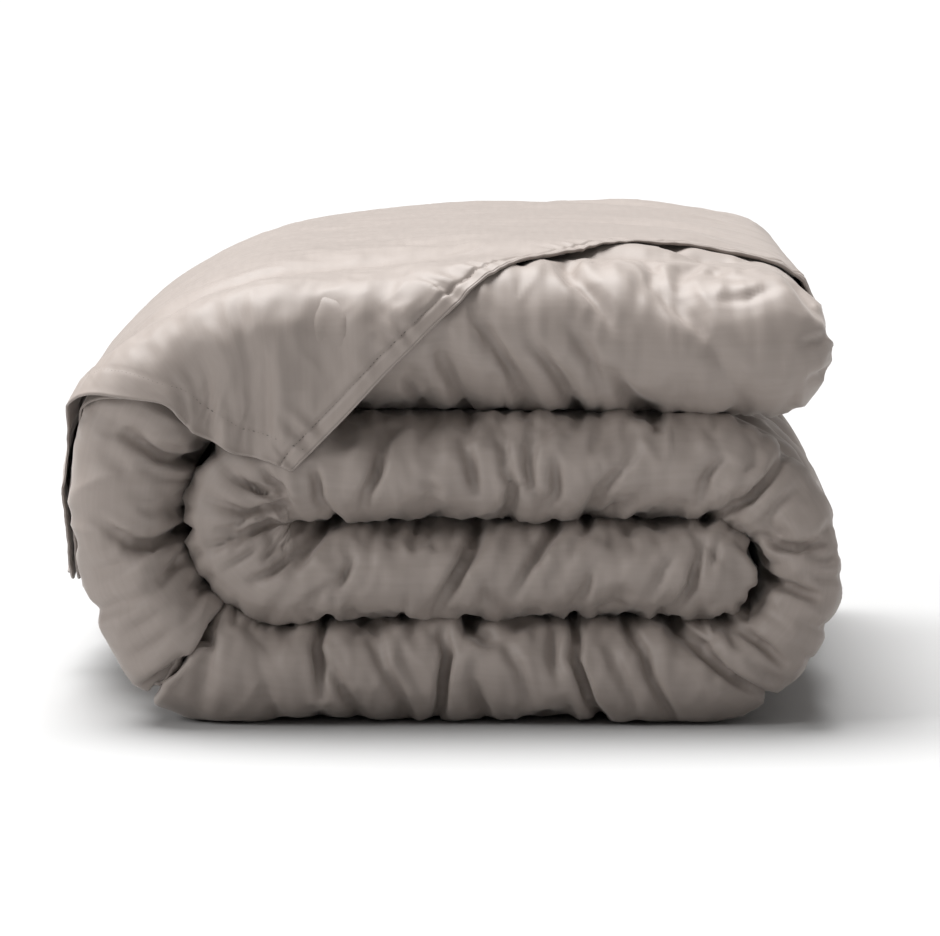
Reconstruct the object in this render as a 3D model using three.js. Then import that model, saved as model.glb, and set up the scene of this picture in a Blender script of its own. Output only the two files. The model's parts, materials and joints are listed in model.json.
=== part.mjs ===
// A duvet in its cover, folded once across its width and rolled up flat, with the
// cover's empty tail turned back over the roll.
//
// The duvet is a soft slab. It is folded in half about a line that becomes the front
// face of the roll, so every layer of the roll is one rounded fold at the front and two
// plies at the back. The folded slab is then rolled: tongue, small left bend, second
// layer, right bend, bottom layer, big left bend, top layer.
//
// Every shell is swept along that path. A profile is a U, open at the back, made of two
// outlines at two radii about the fold line, so shells nest inside each other with a
// named clearance. The origin is the middle of the footprint, on the floor. X runs along
// the layers, Y runs from the front face to the back, and Z is up. Millimetres.
import * as THREE from "three";

// Slab and layers
const foldedDepth = 700; // front fold to side seams: half of a 1400 mm wide duvet
const tongueThickness = 66; // thickness of each folded layer, two plies
const secondThickness = 72;
const bottomThickness = 70;
const topThickness = 96; // nothing lies on the top layer but the tail, so it stands taller
const smallBendThickness = 69; // thickness at the middle of each bend
const rightBendThickness = 48;
const bigBendThickness = 72;
const layerGap = 1; // clearance between neighbouring layers

// Plan of the roll, measured along X from the centre line of the layers' straight part
const smallBendX = -109.5; // where the straight layers end and each left bend begins
const bigBendX = -115;
const rightBendX = 155;
const rightBendReach = 83; // how far the centre line of a wide bend runs past its start
const bigBendReach = 103.5;
const tongueEndX = 206; // where the tongue's closed end lies, inside the right bend
const topEndX = 254;
const taperLength = 55; // the rounded ends of the slab
const endThickness = 17; // thickness of the slab at its closed ends

// Fabric
const coverThickness = 0.8;
const casingThickness = 0.6;
const fabricGap = 0.3; // clearance between nested pieces
const midGap = 0.8; // clearance between the two plies
const casingInset = 18; // the duvet is this much narrower than its cover, at the side seams
const seamWidth = 4;
const bindingWidth = 3;
const endSeamWidth = 3;

// The line where the roll is creased and opens
const creaseAngle = 34; // degrees round the big left bend from the floor
const creaseGap = 0.6;

// Tail, laid out flat: u runs along the roll from its hinge, w across it towards the front
const tailHingeX = 222;
const tailStart = 3; // bare cloth between the hinge line and the tail's first thread
const tailThickness = 0.6;
const tailClearance = 1.2; // between the roll and the tail's under layer
const tailGap = 0.5; // between the tail's two layers
const hemGap = 1.3; // between a panel and the hem or seam along its edge
const tailHangU = 614; // how far the tail reaches over the top and down the left end
const tailTipU = 333; // the corner that hangs on the front face
const tailTipW = 163;
const tailShoulderU = 470; // where the mouth crosses the front fold
const tailShoulderW = 30;
const tailDropW = -190; // where the mouth turns to run parallel to the left end
const tailHingeW = -62; // the front end of the hinge line
const tailBackMargin = 10; // how far the tail stops short of the side seams
const hemWidth = 20;
const hemExtra = 0.4; // a hem is folded double, so it is this much thicker
const flangeWidth = 8;

// Corner loops on the duvet, ribbon ties in the cover, and a blank care label
const loopReach = 8.5;
const loopTape = 4;
const loopStrap = 1.2;
const tieRadius = 4.7;
const tieTape = 4;
const tieStrap = 0.8;
const labelX = 60;
const labelWidth = 30;
const labelHeight = 46;
const labelThickness = 0.6;

// How finely bends and folds are faceted
const bendSteps = 9;
const foldSteps = 6;
const innerFoldSteps = 3;
const taperSteps = 4;
const fineSteps = 120; // for the smooth outline that the tail follows
const sideRows = 16; // rows of the tail along its side edge, and along its mouth
const mouthRows = 18;
const hemSteps = [14, 14, 3];
const foldCells = 12; // cells of a row round the front fold
const foldLead = 20; // how far behind the front edge they start, where there is no fold

// ---------------------------------------------------------------------------
// Materials

const material = (color, roughness) => new THREE.MeshStandardMaterial({ color, roughness, metalness: 0 });
const sateen = material("#8c837e", 0.55);
const sateenHem = material("#857c77", 0.6);
const downproof = material("#efece6", 0.8);
const fibre = material("#f7f6f2", 1.0);
const tape = material("#d9d3cb", 0.8);
const labelCloth = material("#f2efe9", 0.7);

const part = new THREE.Group();

function addMesh(name, geometry, surface) {
  const mesh = new THREE.Mesh(geometry, surface);
  mesh.name = name;
  part.add(mesh);
  return mesh;
}

// ---------------------------------------------------------------------------
// The path of the roll: stations of centre (x, z), normal and half thickness

const tongueZ = bottomThickness + layerGap + tongueThickness / 2;
const secondZ = tongueZ + tongueThickness / 2 + layerGap + secondThickness / 2;
const bottomZ = bottomThickness / 2;
const topZ = secondZ + secondThickness / 2 + layerGap + topThickness / 2;

// Half thickness along a bend: from its start to its end, by way of its middle
function bendHalf(start, middle, end) {
  return (t) => {
    const straight = start + (end - start) * t;
    const bulge = middle - (start + end) / 2;
    return (straight + bulge * Math.sin(Math.PI * t) ** 2) / 2;
  };
}

// A stretch of straight layer, or one rounded end of the slab
function straight(fromX, toX, z, half, steps) {
  const stations = [];
  const heading = Math.sign(toX - fromX);
  for (let i = 0; i <= steps; i++) {
    const t = i / steps;
    stations.push({ x: fromX + (toX - fromX) * t, z, nx: 0, nz: heading, half: half(t) });
  }
  return stations;
}

// An elliptical bend about (cx, cz). Angles are in degrees, 0 towards +X and 90 upwards.
// The normal points to the left of the direction of travel.
function bend(cx, cz, reach, rise, fromDeg, toDeg, half, steps) {
  const stations = [];
  const turn = Math.sign(toDeg - fromDeg);
  for (let i = 0; i <= steps; i++) {
    const t = i / steps;
    const a = THREE.MathUtils.degToRad(fromDeg + (toDeg - fromDeg) * t);
    const normal = new THREE.Vector2(Math.cos(a) * rise, Math.sin(a) * reach).normalize();
    stations.push({
      x: cx + reach * Math.cos(a),
      z: cz + rise * Math.sin(a),
      nx: -turn * normal.x,
      nz: -turn * normal.y,
      half: half(t),
    });
  }
  return stations;
}

// A left-hand turn back over the layer below, wrapped close round the line (cx, cz) where
// the two layers meet
function tightBend(cx, cz, half, steps) {
  const stations = [];
  for (let i = 0; i <= steps; i++) {
    const t = i / steps;
    const a = -Math.PI * (0.5 + t);
    const radius = half(t) + layerGap / 2;
    const [nx, nz] = [Math.cos(a), Math.sin(a)];
    stations.push({ x: cx + radius * nx, z: cz + radius * nz, nx, nz, half: half(t) });
  }
  return stations;
}

// Joins stretches end to end, dropping the station that two of them share
function joined(...stretches) {
  return stretches.reduce((all, stretch) => all.concat(all.length ? stretch.slice(1) : stretch), []);
}

const evenly = (thickness) => () => thickness / 2;

// The rounded end of the slab, an ellipse from full thickness down to its seam
function taper(thickness, opening) {
  return (t) => {
    const reach = opening ? 1 - t : t;
    const round = Math.sqrt(Math.max(0, 1 - reach * reach));
    return (endThickness + (thickness - endThickness) * round) / 2;
  };
}

const bigBendZ = (topZ + bottomZ) / 2;
const bigBendRise = (topZ - bottomZ) / 2;
const bigBendHalf = bendHalf(bottomThickness, bigBendThickness, topThickness);

// Part of the big left bend, by its angle from the floor, 0 to 180 degrees
function bigBend(fromAngle, toAngle, steps) {
  const half = (t) => bigBendHalf((fromAngle + (toAngle - fromAngle) * t) / 180);
  return bend(bigBendX, bigBendZ, bigBendReach, bigBendRise, -90 - fromAngle, -90 - toAngle, half, steps);
}

const rollPath = joined(
  straight(tongueEndX, tongueEndX - taperLength, tongueZ, taper(tongueThickness, true), taperSteps),
  straight(tongueEndX - taperLength, smallBendX, tongueZ, evenly(tongueThickness), 1),
  tightBend(
    smallBendX,
    tongueZ + tongueThickness / 2 + layerGap / 2,
    bendHalf(tongueThickness, smallBendThickness, secondThickness),
    bendSteps,
  ),
  straight(smallBendX, rightBendX, secondZ, evenly(secondThickness), 1),
  bend(
    rightBendX,
    (secondZ + bottomZ) / 2,
    rightBendReach,
    (secondZ - bottomZ) / 2,
    90,
    -90,
    bendHalf(secondThickness, rightBendThickness, bottomThickness),
    bendSteps,
  ),
  straight(rightBendX, bigBendX, bottomZ, evenly(bottomThickness), 1),
  bigBend(0, creaseAngle, 3),
);

const creaseGapAngle = THREE.MathUtils.radToDeg(creaseGap / bigBendRise);
const wrapPath = joined(
  bigBend(creaseAngle + creaseGapAngle, 180, bendSteps + 2),
  straight(bigBendX, topEndX - taperLength, topZ, evenly(topThickness), 1),
  straight(topEndX - taperLength, topEndX, topZ, taper(topThickness, false), taperSteps),
);

// ---------------------------------------------------------------------------
// Solids from rings of points

// Triangles over a flat outline, turning the same way round as the outline does
function capFaces(outline) {
  const faces = THREE.ShapeUtils.triangulateShape(outline, []);
  return THREE.ShapeUtils.isClockWise(outline) ? faces.map(([a, b, c]) => [a, c, b]) : faces;
}

// A closed solid from equal rings of points: quads between rings, and the two end
// faces triangulated from the flat outline of the ring. A ring runs out along one face of
// a sheet and back along the other; past the turn the quads are split the other way, so
// that both faces crease alike.
function solidFromRings(rings, outlineOf, turn) {
  const count = rings[0].length;
  const positions = rings.flat().flatMap((p) => [p.x, p.y, p.z]);
  const index = [];
  for (let r = 0; r + 1 < rings.length; r++) {
    for (let i = 0; i < count; i++) {
      const a = r * count + i;
      const b = r * count + ((i + 1) % count);
      if (i < turn) index.push(a, b, b + count, a, b + count, a + count);
      else index.push(a, b, a + count, b, b + count, a + count);
    }
  }
  const last = (rings.length - 1) * count;
  for (const [a, b, c] of capFaces(outlineOf(0))) index.push(a, c, b);
  for (const [a, b, c] of capFaces(outlineOf(rings.length - 1))) {
    index.push(last + a, last + b, last + c);
  }
  return facingOut(positions, index);
}

// Turns the faces round if the enclosed volume comes out negative
function facingOut(positions, index) {
  let volume = 0;
  const corner = (k) => new THREE.Vector3().fromArray(positions, index[k] * 3);
  for (let k = 0; k < index.length; k += 3) {
    volume += corner(k).dot(corner(k + 1).cross(corner(k + 2)));
  }
  if (volume < 0) {
    for (let k = 0; k < index.length; k += 3) [index[k + 1], index[k + 2]] = [index[k + 2], index[k + 1]];
  }
  const geometry = new THREE.BufferGeometry();
  geometry.setAttribute("position", new THREE.Float32BufferAttribute(positions, 3));
  geometry.setIndex(index);
  geometry.computeVertexNormals();
  return geometry;
}

// Sweeps a flat outline along a path. outline(station) gives points (y, n): y across the
// roll from its front fold, n along the station's normal.
function sweep(path, outline, turn) {
  const outlines = path.map(outline);
  const rings = path.map((s, k) =>
    outlines[k].map((p) => new THREE.Vector3(s.x + s.nx * p.y, p.x, s.z + s.nz * p.y)),
  );
  return solidFromRings(rings, (k) => outlines[k], turn);
}

// Points of a U about the fold line: straight to the back at +radius, round the front
// fold, and straight to the back again at -radius
function foldOutline(half, radius, backY, steps) {
  const points = [new THREE.Vector2(backY, radius)];
  for (let i = 0; i <= steps; i++) {
    const a = Math.PI * (0.5 + i / steps);
    points.push(new THREE.Vector2(half + radius * Math.cos(a), radius * Math.sin(a)));
  }
  points.push(new THREE.Vector2(backY, -radius));
  return points;
}

// A U-shaped shell between two outlines, each { radius, steps }; the radius is a function
// of the half thickness
function foldedShell(path, outer, inner, backY) {
  const outline = ({ half }) => [
    ...foldOutline(half, outer.radius(half), backY, outer.steps),
    ...foldOutline(half, inner.radius(half), backY, inner.steps).reverse(),
  ];
  return sweep(path, outline, outer.steps + 3);
}

// ---------------------------------------------------------------------------
// Cover, casing and filling of one stretch of the roll

const coverBackY = foldedDepth;
const casingBackY = foldedDepth - casingInset;
const middle = midGap / 2;
const casingOuter = coverThickness + fabricGap; // depth below the cover's outside
const fillingOuter = casingOuter + casingThickness + fabricGap;
const casingInner = middle + coverThickness + fabricGap; // height above the middle
const fillingInner = casingInner + casingThickness + fabricGap;

// An outline a set depth below the cover's outside, and one a set height off the middle
const below = (depth) => ({ radius: (half) => half - depth, steps: foldSteps });
const above = (height) => ({ radius: () => height, steps: innerFoldSteps });

function addFoldedSlab(path, suffix) {
  const shell = (name, outer, inner, backY, surface) =>
    addMesh(`${name}_${suffix}`, foldedShell(path, outer, inner, backY), surface);
  shell("cover_top_panel", below(0), below(coverThickness), coverBackY, sateen);
  shell("casing_top", below(casingOuter), below(casingOuter + casingThickness), casingBackY, downproof);
  shell("filling", below(fillingOuter), above(fillingInner), casingBackY, fibre);
  shell("casing_under", above(casingInner + casingThickness), above(casingInner), casingBackY, downproof);
  shell("cover_under_panel", above(middle + coverThickness), above(middle), coverBackY, sateen);
}

// The sewn edge of one ply, a ridge that closes the gap between its two cloths.
// side is +1 or -1 for the two plies.
function plyEdge(path, side, backY, width, lowest, depth) {
  const outline = ({ half }) => {
    const low = side * lowest;
    const high = side * (half - depth);
    return [
      new THREE.Vector2(backY + fabricGap, low),
      new THREE.Vector2(backY + fabricGap, high),
      new THREE.Vector2(backY + fabricGap + width, (low + high) / 2),
    ];
  };
  return sweep(path, outline, 3);
}

function addPlyEdges(path, suffix) {
  for (const [side, hand] of [[1, "left"], [-1, "right"]]) {
    addMesh(
      `side_seam_${hand}_${suffix}`,
      plyEdge(path, side, coverBackY, seamWidth, middle, coverThickness / 2),
      sateenHem,
    );
    addMesh(
      `casing_binding_${hand}_${suffix}`,
      plyEdge(path, side, casingBackY, bindingWidth, casingInner, casingOuter),
      tape,
    );
  }
}

// A closing plate over one end of the slab: the whole outline, past the end of the path
function endSeam(station, outward) {
  const plate = (offset) => ({ ...station, x: station.x + outward * offset });
  const outline = ({ half }) => foldOutline(half, half, coverBackY, foldSteps);
  return sweep([plate(fabricGap), plate(fabricGap + endSeamWidth)], outline, foldSteps + 3);
}

addFoldedSlab(rollPath, "roll");
addPlyEdges(rollPath, "roll");
addMesh("foot_seam", endSeam(rollPath[0], 1), sateenHem);

addFoldedSlab(wrapPath, "wrap");
addPlyEdges(wrapPath, "wrap");
addMesh("head_seam", endSeam(wrapPath[wrapPath.length - 1], 1), sateenHem);

// ---------------------------------------------------------------------------
// Corner loops on the duvet's binding, and the cover's ties through them

// A tape bent into a half ring, standing on the binding and seen from above
function loopGeometry() {
  const shape = new THREE.Shape();
  shape.absarc(0, 0, loopReach, 0, Math.PI, false);
  shape.absarc(0, 0, loopReach - loopStrap, Math.PI, 0, true);
  return new THREE.ExtrudeGeometry(shape, { depth: loopTape, bevelEnabled: false, curveSegments: 6 });
}

// A ribbon ring that passes through the loop, seen along the seam
function tieGeometry() {
  const shape = new THREE.Shape().absarc(0, 0, tieRadius, 0, 2 * Math.PI, false);
  shape.holes.push(new THREE.Path().absarc(0, 0, tieRadius - tieStrap, 0, 2 * Math.PI, true));
  return new THREE.ExtrudeGeometry(shape, { depth: tieTape, bevelEnabled: false, curveSegments: 6 });
}

const bindingEdgeY = casingBackY + fabricGap + bindingWidth;

function addCorner(name, x, z) {
  const loop = addMesh(`${name}_loop`, loopGeometry(), tape);
  loop.position.set(x, bindingEdgeY + fabricGap, z - loopTape / 2);
  const tie = addMesh(`${name}_tie`, tieGeometry(), sateenHem);
  tie.rotation.y = Math.PI / 2;
  tie.position.set(x - tieTape / 2, coverBackY - tieRadius, z);
}

// The loops stand at the middle of each ply, just before the slab's rounded ends
function addCorners(end, x, z, thickness) {
  const half = thickness / 2;
  const plyMiddle = (casingInner + half - casingOuter) / 2;
  addCorner(`${end}_outer`, x, z + plyMiddle);
  addCorner(`${end}_inner`, x, z - plyMiddle);
}

addCorners("foot", tongueEndX - taperLength - loopReach, tongueZ, tongueThickness);
addCorners("head", topEndX - taperLength - loopReach, topZ, topThickness);

// A blank label caught in the side seam of the second layer's upper ply
const labelTopZ = secondZ + (middle + secondThickness / 2) / 2;
const label = addMesh("care_label", new THREE.BoxGeometry(labelWidth, labelThickness, labelHeight), labelCloth);
label.position.set(
  labelX,
  coverBackY + fabricGap + seamWidth + fabricGap + labelThickness / 2,
  labelTopZ - labelHeight / 2,
);

// ---------------------------------------------------------------------------
// The tail, two layers of bare cloth that follow the outside of the wrap

const fineWrap = joined(
  bigBend(creaseAngle, 180, fineSteps),
  straight(bigBendX, topEndX - taperLength, topZ, evenly(topThickness), 2),
  straight(topEndX - taperLength, topEndX, topZ, taper(topThickness, false), fineSteps),
).reverse();

// Distance along the outside of the roll from the tail's hinge, at each fine station
const outside = fineWrap
  .filter((s) => s.x <= tailHingeX)
  .map((s) => ({ ...s, outerX: s.x + s.nx * s.half, outerZ: s.z + s.nz * s.half, u: 0 }));
for (let i = 1; i < outside.length; i++) {
  const [before, here] = [outside[i - 1], outside[i]];
  here.u = before.u + Math.hypot(here.outerX - before.outerX, here.outerZ - before.outerZ);
}

// The station of the wrap at a distance u from the hinge
function stationAt(u) {
  const k = Math.max(1, outside.findIndex((s) => s.u >= u));
  const [a, b] = [outside[k - 1], outside[k]];
  const t = (u - a.u) / (b.u - a.u);
  const mix = (key) => a[key] + (b[key] - a[key]) * t;
  return { x: mix("x"), z: mix("z"), nx: mix("nx"), nz: mix("nz"), half: mix("half") };
}

// A point of the laid-out tail, (u, w), put in place at a height over the wrap: flat on
// it, round its front fold, then straight down the front face
function onRoll(u, w, height) {
  const s = stationAt(u);
  const radius = s.half + height;
  const roundFold = (radius * Math.PI) / 2;
  const a = THREE.MathUtils.clamp(w, 0, roundFold) / radius;
  const y = s.half - radius * Math.sin(a) - Math.min(w, 0);
  const n = radius * Math.cos(a) - Math.max(w - roundFold, 0);
  return new THREE.Vector3(s.x + s.nx * n, y, s.z + s.nz * n);
}

const backW = (u) => stationAt(u).half - foldedDepth + tailBackMargin;

// Outline of the tail: the side edge runs from the hinge to the tip, and the mouth from
// the tip round the shoulder and along the left end. A hem is the mouth's last stretch.
const sideW = (u) => tailHingeW + ((u - tailStart) / (tailTipU - tailStart)) * (tailTipW - tailHingeW);
const mouthOuter = [
  new THREE.Vector2(tailTipU, tailTipW),
  new THREE.Vector2(tailShoulderU, tailShoulderW),
  new THREE.Vector2(tailHangU, tailDropW),
  new THREE.Vector2(tailHangU, backW(tailHangU)),
];
const mouthInner = mouthOuter.map((p) => new THREE.Vector2(p.x - hemWidth, p.y));
mouthInner[0].y = sideW(mouthInner[0].x);

// The height w of the mouth's inner edge at a distance u
function mouthW(u) {
  const k = Math.max(1, mouthInner.findIndex((p) => p.x >= u));
  const [a, b] = [mouthInner[k - 1], mouthInner[k]];
  return a.y + ((u - a.x) / (b.x - a.x)) * (b.y - a.y);
}

// A closed sheet between two heights over the wrap, from equal rows of (u, w)
function sheetSolid(rows, low, high) {
  const rings = rows.map((row) => [
    ...row.map((p) => onRoll(p.x, p.y, low)),
    ...row.map((p) => onRoll(p.x, p.y, high)).reverse(),
  ]);
  const along = rows[0].map((p, i) => new THREE.Vector2(i, 0));
  const back = rows[0].map((p, i) => new THREE.Vector2(i, 1)).reverse();
  return solidFromRings(rings, () => [...along, ...back], along.length);
}

const between = (a, b, steps) => Array.from({ length: steps + 1 }, (_, i) => a + ((b - a) * i) / steps);

// A row across a tail panel: one long cell on the flat, then short ones round the fold
function panelRow(u) {
  const front = u < mouthInner[0].x ? sideW(u) : mouthW(u + hemGap);
  const foldStart = Math.min(-2, front - foldLead);
  const round = between(foldStart, front, foldCells);
  return [backW(u), ...round].map((w) => new THREE.Vector2(u, w));
}

const panelRows = [
  ...between(tailStart, mouthInner[0].x - hemGap, sideRows),
  ...between(mouthInner[0].x, mouthInner[2].x - hemGap, mouthRows),
].map(panelRow);

// Rows of three points across the hem, along each of the mouth's three stretches
const hemRows = hemSteps.flatMap((steps, k) => {
  const [inner, innerEnd, outer, outerEnd] = [mouthInner[k], mouthInner[k + 1], mouthOuter[k], mouthOuter[k + 1]];
  const rows = between(0, 1, steps).map((t) => {
    const [a, b] = [inner.clone().lerp(innerEnd, t), outer.clone().lerp(outerEnd, t)];
    return [a, a.clone().lerp(b, 0.5), b];
  });
  return k ? rows.slice(1) : rows;
});

const flangeRows = between(tailStart, mouthInner[0].x - hemGap, sideRows).map((u) => [
  new THREE.Vector2(u, sideW(u) + hemGap),
  new THREE.Vector2(u, sideW(u) + hemGap + flangeWidth),
]);

const underLow = tailClearance;
const upperLow = underLow + tailThickness + tailGap;
addMesh("tail_under_panel", sheetSolid(panelRows, underLow, underLow + tailThickness), sateen);
addMesh("tail_upper_panel", sheetSolid(panelRows, upperLow, upperLow + tailThickness), sateen);
addMesh("mouth_hem_under", sheetSolid(hemRows, underLow, underLow + tailThickness), sateenHem);
addMesh("mouth_hem_upper", sheetSolid(hemRows, upperLow, upperLow + tailThickness + hemExtra), sateenHem);
addMesh("tail_side_seam", sheetSolid(flangeRows, underLow, upperLow + tailThickness), sateenHem);

// ---------------------------------------------------------------------------
// The origin is the middle of the footprint, on the floor
const footprint = new THREE.Box3().setFromObject(part, true);
const centre = footprint.getCenter(new THREE.Vector3());
for (const mesh of part.children) mesh.position.sub(new THREE.Vector3(centre.x, centre.y, 0));

export default part;
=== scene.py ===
import json
import math

import bmesh
import bpy
import numpy as np
from mathutils import Matrix, Vector, noise


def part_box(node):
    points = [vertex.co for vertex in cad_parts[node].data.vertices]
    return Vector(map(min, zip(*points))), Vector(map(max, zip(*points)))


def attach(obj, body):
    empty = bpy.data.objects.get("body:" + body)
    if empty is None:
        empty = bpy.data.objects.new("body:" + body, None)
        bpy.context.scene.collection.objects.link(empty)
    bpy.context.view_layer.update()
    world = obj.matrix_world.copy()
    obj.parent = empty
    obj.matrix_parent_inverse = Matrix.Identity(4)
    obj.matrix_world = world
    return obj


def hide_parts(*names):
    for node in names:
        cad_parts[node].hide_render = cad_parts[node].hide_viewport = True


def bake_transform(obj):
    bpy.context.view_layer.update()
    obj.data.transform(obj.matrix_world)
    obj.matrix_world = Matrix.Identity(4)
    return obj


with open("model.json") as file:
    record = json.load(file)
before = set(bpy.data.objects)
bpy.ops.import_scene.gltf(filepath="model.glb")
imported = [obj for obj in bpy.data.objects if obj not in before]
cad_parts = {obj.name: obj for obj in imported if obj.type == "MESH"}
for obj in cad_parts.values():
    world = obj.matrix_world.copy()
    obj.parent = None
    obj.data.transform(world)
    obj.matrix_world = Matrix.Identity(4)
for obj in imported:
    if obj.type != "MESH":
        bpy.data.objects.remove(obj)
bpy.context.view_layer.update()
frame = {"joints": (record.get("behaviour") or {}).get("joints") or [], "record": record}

scene = bpy.context.scene
scene.view_settings.view_transform = "Standard"
MM = 0.001


# The studio: a long lens low in front of the folded edge, a broad soft light from high above
# and a little behind, a weaker one from the left, and a pale floor under a pale sky that
# fills the shadows.
LENS = 244.0
EYE = Vector((0.005, -4.65, 0.60))
AIM = Vector((0.011, 0.0, 0.143))

camera_data = bpy.data.cameras.new("studio_camera")
camera_data.lens = LENS
camera_data.sensor_width = 36.0
camera = bpy.data.objects.new("studio_camera", camera_data)
scene.collection.objects.link(camera)
camera.location = EYE
camera.rotation_euler = (AIM - EYE).to_track_quat("-Z", "Y").to_euler()
scene.camera = camera

FLOOR_HALF = 60.0
FLOOR_GREY = 0.47
floor_mesh = bmesh.new()
bmesh.ops.create_grid(floor_mesh, x_segments=1, y_segments=1, size=FLOOR_HALF)
floor_data = bpy.data.meshes.new("floor")
floor_mesh.to_mesh(floor_data)
floor_mesh.free()
floor = bpy.data.objects.new("floor", floor_data)
scene.collection.objects.link(floor)

floor_finish = bpy.data.materials.new("pale_floor")
floor_finish.use_nodes = True
floor_shader = floor_finish.node_tree.nodes["Principled BSDF"]
floor_shader.inputs["Base Color"].default_value = (FLOOR_GREY, FLOOR_GREY, FLOOR_GREY, 1)
floor_shader.inputs["Roughness"].default_value = 1.0
floor_shader.inputs["Specular IOR Level"].default_value = 0.0
floor_data.materials.append(floor_finish)

FILL_STRENGTH = 0.36
BACKDROP_STRENGTH = 1.0
world = bpy.data.worlds.new("studio")
world.use_nodes = True
sky_nodes, sky_links = world.node_tree.nodes, world.node_tree.links
fill_sky = sky_nodes["Background"]
fill_sky.inputs["Color"].default_value = (1, 0.99, 0.98, 1)
fill_sky.inputs["Strength"].default_value = FILL_STRENGTH
seen_sky = sky_nodes.new("ShaderNodeBackground")
seen_sky.inputs["Color"].default_value = (1, 1, 1, 1)
seen_sky.inputs["Strength"].default_value = BACKDROP_STRENGTH
seen_directly = sky_nodes.new("ShaderNodeLightPath")
choose_sky = sky_nodes.new("ShaderNodeMixShader")
sky_links.new(seen_directly.outputs["Is Camera Ray"], choose_sky.inputs["Fac"])
sky_links.new(fill_sky.outputs["Background"], choose_sky.inputs[1])
sky_links.new(seen_sky.outputs["Background"], choose_sky.inputs[2])
sky_links.new(choose_sky.outputs["Shader"], sky_nodes["World Output"].inputs["Surface"])
scene.world = world


def add_far_light(name, strength, spread, comes_from):
    """A light so far off that it is even everywhere, as soft as its spread in degrees."""
    lamp = bpy.data.lights.new(name, "SUN")
    lamp.energy = strength
    lamp.angle = math.radians(spread)
    holder = bpy.data.objects.new(name, lamp)
    scene.collection.objects.link(holder)
    holder.rotation_euler = Vector(comes_from).to_track_quat("Z", "Y").to_euler()


add_far_light("top_light", 6.1, 44, (-0.22, 0.34, 1.0))
add_far_light("side_light", 1.15, 24, (-0.9, -0.42, 0.5))


# The quilt's cross sections. The duvet in its cover is one soft slab, folded along its
# front edge and wound in a flat spiral: tongue, small bend, second layer, right bend,
# bottom layer, big bend, top layer. These are the line it follows and how thick it is.
LAYER_GAP = 1 * MM
TONGUE = 66 * MM
SECOND = 72 * MM
BOTTOM = 70 * MM
TOP = 96 * MM
SMALL_BEND = 69 * MM
RIGHT_BEND = 48 * MM
BIG_BEND = 72 * MM

roll_low, roll_high = (Vector(corner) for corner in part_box("cover_top_panel_roll"))
wrap_low, wrap_high = (Vector(corner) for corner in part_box("cover_top_panel_wrap"))
FRONT = roll_low.y
BACK = roll_high.y

RIGHT_REACH = 83 * MM
BIG_REACH = 103.5 * MM
RIGHT_X = roll_high.x - RIGHT_REACH - RIGHT_BEND / 2
BIG_X = wrap_low.x + BIG_REACH + BIG_BEND / 2
SMALL_X = BIG_X + 5.5 * MM
HEAD_X = wrap_high.x
FOOT_X = HEAD_X - 48 * MM

bottom_z = BOTTOM / 2
tongue_z = BOTTOM + LAYER_GAP + TONGUE / 2
second_z = tongue_z + TONGUE / 2 + LAYER_GAP + SECOND / 2
top_z = second_z + SECOND / 2 + LAYER_GAP + TOP / 2


def thickness_round(start, middle, end, share):
    level = start + (end - start) * share
    return level + (middle - (start + end) / 2) * np.sin(math.pi * share) ** 2


def straight_line(x_from, x_to, z, thickness, count=60):
    share = np.linspace(0, 1, count)
    x = x_from + (x_to - x_from) * share
    side = math.copysign(1, x_to - x_from)
    return np.stack([x, np.full(count, z), np.zeros(count), np.full(count, side),
                     np.full(count, thickness / 2)], axis=1)


def bend_line(x, z, reach, rise, start_deg, end_deg, thickness, count=90):
    share = np.linspace(0, 1, count)
    angle = np.radians(start_deg + (end_deg - start_deg) * share)
    nx, nz = np.cos(angle) * rise, np.sin(angle) * reach
    size = np.hypot(nx, nz)
    return np.stack([x + reach * np.cos(angle), z + rise * np.sin(angle), nx / size, nz / size,
                     thickness(share) / 2], axis=1)


def small_bend_line(count=60):
    share = np.linspace(0, 1, count)
    angle = -np.pi * (0.5 + share)
    half = thickness_round(TONGUE, SMALL_BEND, SECOND, share) / 2
    radius = half + LAYER_GAP / 2
    pivot = tongue_z + TONGUE / 2 + LAYER_GAP / 2
    return np.stack([SMALL_X + radius * np.cos(angle), pivot + radius * np.sin(angle),
                     np.cos(angle), np.sin(angle), half], axis=1)


line = np.concatenate([
    straight_line(FOOT_X, SMALL_X, tongue_z, TONGUE),
    small_bend_line()[1:],
    straight_line(SMALL_X, RIGHT_X, second_z, SECOND)[1:],
    bend_line(RIGHT_X, (second_z + bottom_z) / 2, RIGHT_REACH, (second_z - bottom_z) / 2, 90, -90,
              lambda t: thickness_round(SECOND, RIGHT_BEND, BOTTOM, t))[1:],
    straight_line(RIGHT_X, BIG_X, bottom_z, BOTTOM)[1:],
    bend_line(BIG_X, (top_z + bottom_z) / 2, BIG_REACH, (top_z - bottom_z) / 2, -90, -270,
              lambda t: thickness_round(BOTTOM, BIG_BEND, TOP, t))[1:],
    straight_line(BIG_X, HEAD_X, top_z, TOP)[1:],
])
along = np.concatenate([[0], np.cumsum(np.hypot(np.diff(line[:, 0]), np.diff(line[:, 1])))])

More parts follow.
